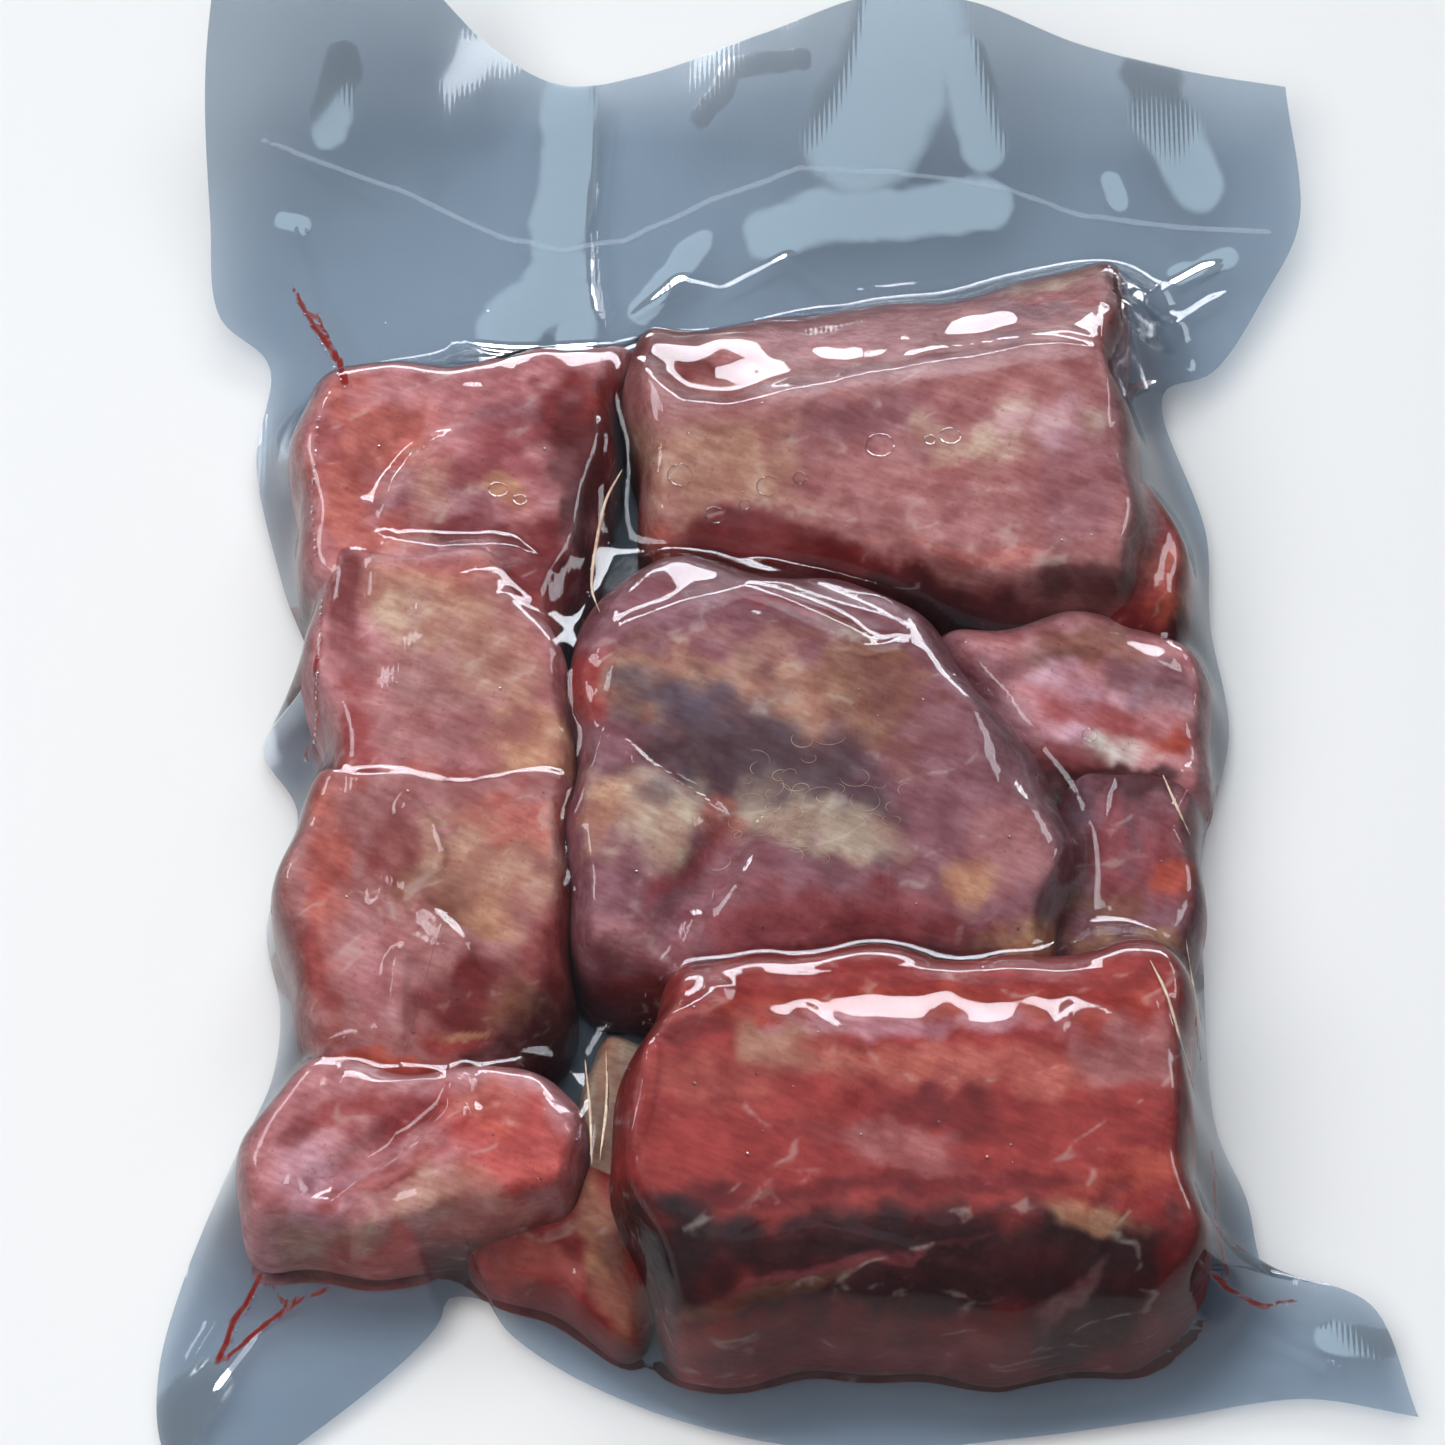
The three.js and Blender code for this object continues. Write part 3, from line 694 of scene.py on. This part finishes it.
def along_line(x, y, line):
    """Distance to a line of points, and the share of its run at the nearest place."""
    line = np.array(line, float)
    runs = np.hypot(*np.diff(line, axis=0).T)
    starts = np.concatenate([[0], np.cumsum(runs)])
    nearest = np.full(x.shape, np.inf)
    share = np.zeros_like(x)
    for (ax, ay), (bx, by), run, start in zip(line[:-1], line[1:], runs, starts):
        t = np.clip(((x - ax) * (bx - ax) + (y - ay) * (by - ay)) / run**2, 0, 1)
        distance = np.hypot(x - ax - t * (bx - ax), y - ay - t * (by - ay))
        closer = distance < nearest
        nearest = np.where(closer, distance, nearest)
        share = np.where(closer, (start + t * run) / starts[-1], share)
    return nearest, share


def creased(x, y, height):
    """Lifts a sheet along its folds: each edge is sharp, falls away to both sides and sinks at its ends."""
    lifted = height.copy()
    for rise, line in RIDGES:
        near = (np.abs(x - line[0][0]) < 90) & (np.abs(y - line[0][1]) < 90)
        distance, share = along_line(x[near], y[near], line)
        edge = rise * np.clip(5 * np.minimum(share, 1 - share) + 0.25, 0, 1)
        (ax, ay), (bx, by) = line[0], line[-1]
        slope = FOLD_SLOPE + ALONG_SLOPE * abs(by - ay) / math.hypot(bx - ax, by - ay)
        slope += LEFT_SLOPE * (ax < LEFT_FROM)
        lifted[near] = np.maximum(lifted[near], height[near] + edge - slope * distance)
    return lifted


def seen_at(x, y, z):
    """Column and row of a place in the photograph's frame."""
    angle = math.radians(CAMERA_ANGLE)
    depth = CAMERA_DISTANCE / MM + y * math.cos(angle) - z * math.sin(angle)
    half = FRAME_PIXELS / 2
    over = y * math.sin(angle) + z * math.cos(angle)
    return half + FOCAL_PIXELS * x / depth, half - FOCAL_PIXELS * over / depth


sheet_x, sheet_y, seam = lay_out_sheet(CELLS_ACROSS, CELLS_ALONG)
# Moves the sheet's frame onto the solid's box.
SHIFT = np.array([
    (CAD_BOUNDS[0][0] + CAD_BOUNDS[1][0]) / 2 / MM - (sheet_x.min() + sheet_x.max()) / 2,
    (CAD_BOUNDS[0][1] + CAD_BOUNDS[1][1]) / 2 / MM - (sheet_y.min() + sheet_y.max()) / 2,
    0,
])


def covered(x, y):
    return np.max([rise_in(piece["sides"], x, y) for piece in PIECES.values()], axis=0) > 0


def front_height(x, y, seam):
    """The front sheet, drawn over the meat and then over its own folds."""
    tops = np.max([meat_top(name, x, y) for name in PIECES], axis=0)
    support = np.maximum(np.where(covered(x, y), tops + CLEARANCE - seam, 0), HALF_WELD)
    drawn = drape(x, y, support, RELAXATIONS)
    buckled = (relief(x, y, FILM_RELIEF, 41) + FILM_SLACK) * smooth_step(drawn / FULL_SLACK_HEIGHT)
    return seam + drape(x, y, creased(x, y, drawn + buckled), SETTLING)


def back_height(x, y, seam):
    bottoms = np.min([meat_bottom(name, x, y) for name in PIECES], axis=0)
    support = np.maximum(np.where(covered(x, y), seam - bottoms + CLEARANCE, 0), HALF_WELD)
    return np.maximum(seam - drape(x, y, support, BACK_RELAXATIONS), TABLE_GAP)


def mesh_object(name, points, faces, material):
    mesh = bpy.data.meshes.new(name)
    mesh.from_pydata(((np.asarray(points) + SHIFT) * MM).tolist(), [], faces)
    mesh.update()
    mesh.polygons.foreach_set("use_smooth", [True] * len(mesh.polygons))
    mesh.materials.append(material)
    piece = bpy.data.objects.new(name, mesh)
    bpy.context.scene.collection.objects.link(piece)
    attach(piece, "root")
    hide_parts("vacuum_pack")
    return piece


def add_colours(piece, name, colours):
    """Stores three numbers for each of a mesh's points."""
    colours = colours.reshape(-1, 3)
    attribute = piece.data.color_attributes.new(name, "FLOAT_COLOR", "POINT")
    attribute.data.foreach_set("color", np.hstack([colours, np.ones((len(colours), 1))]).ravel())


def grid_faces(rows, columns, wrap=False, flip=False):
    """Quads of a grid of rows by columns of points, the columns closed into a ring if wrapped."""
    cells = columns if wrap else columns - 1
    j, i = np.meshgrid(np.arange(rows - 1), np.arange(cells), indexing="ij")
    a = j * columns + i
    b = j * columns + (i + 1) % columns
    quads = np.stack([a, b, b + columns, a + columns], axis=-1).reshape(-1, 4)
    return (quads[:, ::-1] if flip else quads).tolist()


class Nodes:
    """A material's node tree, built by short calls."""

    def __init__(self, name):
        self.material = bpy.data.materials.new(name)
        self.material.use_nodes = True
        self.tree = self.material.node_tree
        self.tree.nodes.clear()

    def add(self, kind, **inputs):
        node = self.tree.nodes.new("ShaderNode" + kind)
        for key, value in inputs.items():
            self.put(node, key, value)
        return node

    def put(self, node, key, value):
        socket = node.inputs[int(key[1:]) if key[0] == "_" and key[1:].isdigit() else key.replace("_", " ")]
        if isinstance(value, bpy.types.NodeSocket):
            self.tree.links.new(value, socket)
        else:
            socket.default_value = value

    def math(self, operation, a, b=0.0):
        node = self.add("Math", _0=a, _1=b)
        node.operation = operation
        return node.outputs[0]

    def blend(self, share, a, b, mode="MIX"):
        node = self.add("Mix", _0=share, _6=a, _7=b)
        node.data_type = "RGBA"
        node.blend_type = mode
        return node.outputs[2]

    def attribute(self, name):
        node = self.add("Attribute")
        node.attribute_name = name
        return node

    def noise(self, size, detail=2.0, stretch=(1, 1, 1), turn=0.0):
        """Noise with bumps of about the given size in millimetres, stretched along a turned axis."""
        place = self.add("TexCoord").outputs["Object"]
        mapping = self.add("Mapping", Vector=place)
        mapping.vector_type = "TEXTURE"
        mapping.inputs["Rotation"].default_value = (0, 0, math.radians(turn))
        mapping.inputs["Scale"].default_value = stretch
        node = self.add("TexNoise", Vector=mapping.outputs[0], Scale=1 / (size * MM), Detail=detail)
        return node.outputs["Fac"]

    def spread(self, value, low, high, to_low=0.0, to_high=1.0):
        node = self.add("MapRange", _0=value, _1=low, _2=high, _3=to_low, _4=to_high)
        node.interpolation_type = "SMOOTHSTEP"
        return node.outputs[0]

    def bump(self, height, strength, distance):
        return self.add("Bump", Height=height, Strength=strength, Distance=distance * MM).outputs[0]

    def mix(self, share, a, b):
        return self.add("MixShader", Fac=share, _1=a.outputs[0], _2=b.outputs[0])

    def finish(self, shader):
        self.add("OutputMaterial", Surface=shader)
        return self.material


def film_material(name, clear, haze, haze_colour, roughness):
    """Clear film with a little milk and fine ribs along it: light passes it or is mirrored by its gloss.

    Its "marks" are how near each place is to the seal, to drawn-in juice, and to the places where the film
    mirrors more and is painted with a pale blue reflection.
    """
    n = Nodes(name)
    seal, juice, pale = n.add("SeparateColor", Color=n.attribute("marks").outputs["Color"]).outputs
    seal, juice, pale = n.spread(seal, 0.4, 0.6), n.spread(juice, 0.3, 0.7), n.spread(pale, 0.4, 0.6)
    place = n.add("SeparateXYZ", Vector=n.add("TexCoord").outputs["Object"])
    rib = n.math("SINE", n.math("MULTIPLY", place.outputs[0], 2 * math.pi / (RIB_PITCH * MM)))
    normal = n.bump(rib, RIB_STRENGTH, RIB_DEPTH)
    lifted = n.spread(place.outputs[2], LIFTED_FROM, LIFTED_TO, 1, LIFTED_SHADE)
    shade = n.add("CombineColor", Red=lifted, Green=lifted, Blue=lifted).outputs[0]
    glass = n.blend(1.0, (*clear, 1), shade, "MULTIPLY")
    through = n.add("BsdfTransparent", Color=n.blend(juice, glass, (*linear(TONES["salmon"]), 1)))
    # Painted reflection: where the film mirrors more, its milk turns the pale blue of a mirrored sky.
    milk_and_painted_reflection = n.blend(pale, (*haze_colour, 1), (*PAINTED_REFLECTION_COLOUR, 1))
    milky = n.add("BsdfDiffuse", Color=n.blend(juice, milk_and_painted_reflection, (*linear(TONES["red"]), 1)))
    thick = n.math("ADD", n.math("MULTIPLY", pale, PAINTED_REFLECTION_HAZE), n.math("MULTIPLY", seal, SEAL_HAZE))
    thick = n.math("ADD", n.math("MULTIPLY", juice, JUICE_HAZE), thick)
    body = n.mix(n.math("ADD", thick, haze), through, milky)
    gloss = n.add("BsdfGlossy", Roughness=roughness, Normal=normal)
    stronger = n.math("ADD", n.math("MULTIPLY", pale, PALE_GLOSS), 1.0)
    mirrored = n.math("MULTIPLY", n.add("Fresnel", IOR=1.3, Normal=normal).outputs[0], stronger)
    return n.finish(n.mix(mirrored, body, gloss).outputs[0])


def meat_material():
    """Raw meat: its painted tone with grain, speckle, thin pale threads and a wet, uneven skin."""
    n = Nodes("meat")
    tone = n.attribute("tone").outputs["Color"]
    grain = n.noise(1.2, 2, stretch=(4, 1, 1), turn=-22)
    cloud = n.noise(7, 3)
    grained = n.blend(n.spread(grain, 0.3, 0.7), *GRAIN_TINTS)
    clouded = n.blend(n.spread(cloud, 0.35, 0.65), *CLOUD_TINTS)
    toned = n.blend(1.0, n.blend(1.0, tone, grained, "MULTIPLY"), clouded, "MULTIPLY")
    bloody = n.blend(n.spread(n.noise(0.9, 1), 0.62, 0.8, 0, 0.35), toned, (*linear(TONES["crimson"]), 1))
    apart = n.math("ABSOLUTE", n.math("SUBTRACT", n.noise(24, 3, stretch=(2.4, 1, 1), turn=25), 0.5))
    threads = n.math("MULTIPLY", n.spread(apart, 0.0, 0.02, 0.3, 0), n.spread(cloud, 0.5, 0.65))
    colour = n.blend(threads, bloody, (*linear(TONES["bone"]), 1))
    normal = n.bump(n.noise(3, 2), 0.6, 0.9)
    shader = n.add("BsdfPrincipled", Base_Color=colour, Roughness=0.5, Normal=normal)
    shader.inputs["Specular IOR Level"].default_value = 0.2
    return n.finish(shader.outputs[0])


def paint(name, x, y, z):
    """The tone of each place on a piece: its own, then its patches, then painted shade low on its sides where
    another piece is near.
    """
    column, row = seen_at(x, y, z)
    for columns, rows, size, column_seed, row_seed in PATCH_WANDER:
        column = column + columns * noise(x, y, size, column_seed)
        row = row + rows * noise(x, y, size, row_seed)
    colour = np.tile(linear(TONES[PIECES[name]["tone"]]), x.shape + (1,))
    along, over = turned(x, y, PIECES[name]["fibres"])
    fibre = noise(along / 6, over + 2 * noise(x, y, 15, 77), 2.2, 78) + 0.6 * noise(along / 5, over, 1.2, 79)
    for k, (at_column, at_row, across, down, turn, tone, strength) in enumerate(PATCHES[name]):
        along, over = turned(column - at_column, at_row - row, turn)
        reach = np.hypot(along / across, over / down)
        fray = PATCH_FRAY * noise(x, y, 5, 80 + k)
        weight = strength * smooth_step((PATCH_END - reach + fray) / PATCH_SOFTNESS)
        colour += weight[..., None] * (linear(TONES[tone]) - colour)
    sunk = 1 - rise_in(PIECES[name]["sides"], x, y)
    for other, piece in PIECES.items():
        if other == name:
            continue
        apart = -np.min(inward_of(piece["sides"], x, y), axis=0)
        # Painted shade in the valleys between pieces: low on the sides, near another piece, the tone is
        # darkened.
        valley_shade = 0.8 * smooth_step((sunk - 0.2) / 0.5) * smooth_step((9 - apart) / 6)
        colour += valley_shade[..., None] * (linear(TONES["dark"]) - colour)
    colour *= 1 + fibre[..., None] * FIBRE_TINT
    return np.clip(colour, 0.002, 0.9)


def make_lump(name, material):
    """A closed lump on rings round its middle, denser towards the foot where the sides are steep."""
    sides = PIECES[name]["sides"]
    cx, cy = middle_of(sides)
    width = max(s[0] for s in sides) - min(s[0] for s in sides)
    spokes = int(min(360, 4 * width))
    rings = spokes // 4
    turn = np.linspace(0, 2 * math.pi, spokes, endpoint=False)
    # The outline on each spoke, by halving a stretch that is longer than any piece.
    near, far = np.zeros(spokes), np.full(spokes, 150.0)
    for _ in range(40):
        middle = (near + far) / 2
        inside = rise_in(sides, cx + middle * np.cos(turn), cy + middle * np.sin(turn)) > 0
        near, far = np.where(inside, middle, near), np.where(inside, far, middle)
    out = (1 - (1 - np.arange(1, rings + 1) / rings) ** 2)[:, None]
    under = (1 - (1 - np.arange(1, UNDER_RINGS) / UNDER_RINGS) ** 2)[::-1, None]
    x, under_x = (cx + share * near * np.cos(turn) for share in (out, under))
    y, under_y = (cy + share * near * np.sin(turn) for share in (out, under))
    points = np.concatenate([
        [[cx, cy, meat_top(name, np.array([cx]), np.array([cy]))[0]]],
        np.stack([x, y, meat_top(name, x, y)], -1).reshape(-1, 3),
        np.stack([under_x, under_y, meat_bottom(name, under_x, under_y)], -1).reshape(-1, 3),
        [[cx, cy, CLEARANCE]],
    ])
    rows = rings + UNDER_RINGS - 1
    faces = [[k + 1 for k in face] for face in grid_faces(rows, spokes, wrap=True, flip=True)]
    last = len(points) - 1
    for k in range(spokes):
        after = (k + 1) % spokes
        faces.append([0, 1 + k, 1 + after])
        faces.append([last, last - spokes + after, last - spokes + k])
    piece = mesh_object(name, points, faces, material)
    add_colours(piece, "tone", paint(name, *points.T))


def nearness(lines, column, row, wander):
    """How near a place is to lines in the frame's pixels: 1 on them, 0.5 at their half width, then less."""
    x, y = column / 8, row / 8
    column = column + wander * (noise(x, y, 3, 31) + 0.5 * noise(x, y, 1, 32))
    row = row + wander * (noise(x, y, 3, 33) + 0.5 * noise(x, y, 1, 34))
    away = np.min([along_line(column, row, line)[0] / half_width for half_width, line in lines], axis=0)
    return np.maximum(1 - away / 2, -2)


def make_sheet(name, x, y, height, material, flip):
    rows, columns = x.shape
    points = np.stack([x, y, height], -1).reshape(-1, 3)
    piece = mesh_object(name, points, grid_faces(rows, columns, flip=flip), material)
    column, row = seen_at(x, y, height)
    drawn = ((SEAL_LINES, 1), (JUICE_LINES, 3), (REFLECTION_PLACES, 4))
    marks = [nearness(lines, column, row, wander) for lines, wander in drawn]
    add_colours(piece, "marks", np.stack(marks, -1))


def tube_mesh(runs):
    """Points and faces of thin tubes with pointed ends, each given by its points and its radius."""
    sides = 5
    turn = np.linspace(0, 2 * math.pi, sides, endpoint=False)
    points, faces = [], []
    for run, radius in runs:
        run = np.asarray(run, float)
        along = np.gradient(run, axis=0)
        along /= np.linalg.norm(along, axis=1, keepdims=True) + 1e-9
        beside = np.cross(along, [0, 0, 1])
        above = np.cross(beside, along)
        taper = radius * np.sqrt(np.sin(np.linspace(0.05, math.pi - 0.05, len(run))))[:, None, None]
        round_it = np.cos(turn)[:, None] * beside[:, None] + np.sin(turn)[:, None] * above[:, None]
        ring = run[:, None] + taper * round_it
        first = sum(len(p) for p in points)
        end = first + sides * (len(run) - 1)
        points.append(ring.reshape(-1, 3))
        faces += [[first + k for k in face] for face in grid_faces(len(run), sides, wrap=True)]
        faces += [[first + k for k in range(sides)][::-1], [end + k for k in range(sides)]]
    return np.vstack(points), faces


def placed(column, row, height_at):
    """Where the camera's ray through a place of the frame meets a surface with the given height."""
    angle = math.radians(CAMERA_ANGLE)
    right, up = (column - FRAME_PIXELS / 2) / FOCAL_PIXELS, (FRAME_PIXELS / 2 - row) / FOCAL_PIXELS
    ahead = np.array([right, math.cos(angle) + up * math.sin(angle), -math.sin(angle) + up * math.cos(angle)])
    eye = CAMERA_DISTANCE / MM * np.array([0, -math.cos(angle), math.sin(angle)])
    # Starts at a usual height of the pack.
    z = 40.0
    for _ in range(12):
        x, y, _ = eye + ahead * (z - eye[2]) / ahead[2]
        z = 0.5 * z + 0.5 * height_at(x, y)
    return x, y, z


def film_at(x, y):
    """Height of the front sheet at one place, from the nearest of its points."""
    nearest = np.argmin((sheet_x - x) ** 2 + (sheet_y - y) ** 2)
    return front_z.ravel()[nearest]


def make_threads(material):
    """Pale threads of sinew that curl on the shoulder, and cream edges of film beside the gaps."""
    chance = np.random.default_rng(5)
    runs = []
    for _ in range(THREADS):
        x, y, _ = placed(chance.normal(800, 50), chance.normal(805, 28), film_at)
        radius, start, sweep = chance.uniform(1, 3.6), chance.uniform(0, 2 * math.pi), chance.uniform(2, 5)
        turn = np.linspace(start, start + sweep, 22)
        grow = np.linspace(1, chance.uniform(0.5, 1.4), 22)
        line_x, line_y = x + radius * grow * np.cos(turn), y + 0.7 * radius * grow * np.sin(turn)
        height = meat_top("shoulder", line_x, line_y) + 0.1
        runs.append((np.stack([line_x, line_y, height], -1), chance.uniform(0.05, 0.11)))
    for radius, line in CREAM_EDGES:
        line = catmull_rom([(column, row, 0) for column, row in line], 16)
        runs.append(([placed(column, row, film_at) for column, row, _ in line], radius))
    points, faces = tube_mesh(runs)
    piece = mesh_object("threads", points, faces, material)
    add_colours(piece, "tone", np.tile(linear(TONES["cream"]), (len(points), 1)))


def make_bubbles(material):
    """Bubbles and beads of juice under the film: rings on the meat, and rows along the creases."""
    chance = np.random.default_rng(8)
    runs = []
    turn = np.linspace(0, 2 * math.pi, 25)
    for column, row, radius in BUBBLE_RINGS:
        x, y, _ = placed(column, row, film_at)
        reach = radius / 4.6
        ring_x, ring_y = x + reach * np.cos(turn), y + 0.85 * reach * np.sin(turn)
        height = np.array([film_at(*place) for place in zip(ring_x, ring_y)])
        runs.append((np.stack([ring_x, ring_y, height], -1), 0.22))
    beads = []
    for line in BEAD_ROWS:
        line = np.array(line, float)
        starts = np.concatenate([[0], np.cumsum(np.hypot(*np.diff(line, axis=0).T))])
        for run in np.arange(2, starts[-1], 7):
            run += chance.uniform(-2, 2)
            beads.append((np.interp(run, starts, line[:, 0]), np.interp(run, starts, line[:, 1])))
    for _ in range(LOOSE_BUBBLES):
        beads.append((chance.uniform(330, 1170), chance.uniform(300, 1180)))
    for column, row in beads:
        x, y, z = placed(column, row, film_at)
        radius = chance.uniform(0.2, 0.5)
        lengthwise = radius * np.linspace(-1, 1, 6)
        runs.append((np.stack([x + lengthwise, np.full(6, y), np.full(6, z)], -1), radius))
    points, faces = tube_mesh(runs)
    mesh_object("bubbles", points, faces, material)


def make_floor():
    mesh = bpy.data.meshes.new("floor")
    half = 3.0
    corners = [(-half, -half, 0), (half, -half, 0), (half, half, 0), (-half, half, 0)]
    mesh.from_pydata(corners, [], [[0, 1, 2, 3]])
    floor = bpy.data.objects.new("floor", mesh)
    bpy.context.scene.collection.objects.link(floor)
    n = Nodes("floor")
    paper = n.add("BsdfDiffuse", Color=(0.82, 0.82, 0.82, 1))
    mesh.materials.append(n.finish(paper.outputs[0]))


def look_at(thing, target):
    direction = Vector(np.array(target) - np.array(thing.location))
    thing.rotation_euler = direction.to_track_quat("-Z", "Y").to_euler()


def make_light(name, place, target, size, radiance, colour, mirrored, lighting):
    """A soft lamp that may be seen in gloss, may light matt surfaces, or both."""
    data = bpy.data.lights.new(name, "AREA")
    data.shape = "RECTANGLE"
    data.size, data.size_y = size
    data.energy = radiance * math.pi * size[0] * size[1]
    data.color = colour
    light = bpy.data.objects.new(name, data)
    light.location = place
    light.visible_glossy = mirrored
    light.visible_diffuse = lighting
    look_at(light, target)
    bpy.context.scene.collection.objects.link(light)


def make_camera():
    data = bpy.data.cameras.new("camera")
    data.sensor_width = 36
    data.lens = data.sensor_width * FOCAL_PIXELS / FRAME_PIXELS
    camera = bpy.data.objects.new("camera", data)
    target = SHIFT * MM
    angle = math.radians(CAMERA_ANGLE)
    camera.location = target + CAMERA_DISTANCE * np.array([0, -math.cos(angle), math.sin(angle)])
    look_at(camera, target)
    bpy.context.scene.collection.objects.link(camera)
    bpy.context.scene.camera = camera


meat = meat_material()
for piece_name in PIECES:
    make_lump(piece_name, meat)
front_film = film_material("film_front", *FRONT_FILM)
back_film = film_material("film_back", *BACK_FILM)
front_z = front_height(sheet_x, sheet_y, seam)
make_sheet("film_front", sheet_x, sheet_y, front_z, front_film, False)
back_x, back_y, back_seam = lay_out_sheet(CELLS_ACROSS // 2, CELLS_ALONG // 2)
make_sheet("film_back", back_x, back_y, back_height(back_x, back_y, back_seam), back_film, True)
make_bubbles(front_film)
make_threads(meat)
make_floor()
make_camera()
for lamp_name, lamp in LAMPS.items():
    make_light(lamp_name, *lamp)
world = bpy.data.worlds.new("world")
bpy.context.scene.world = world
world.use_nodes = True
world.node_tree.nodes["Background"].inputs["Color"].default_value = WORLD_COLOUR
world.node_tree.nodes["Background"].inputs["Strength"].default_value = WORLD_STRENGTH
bpy.context.scene.view_settings.view_transform = "Standard"
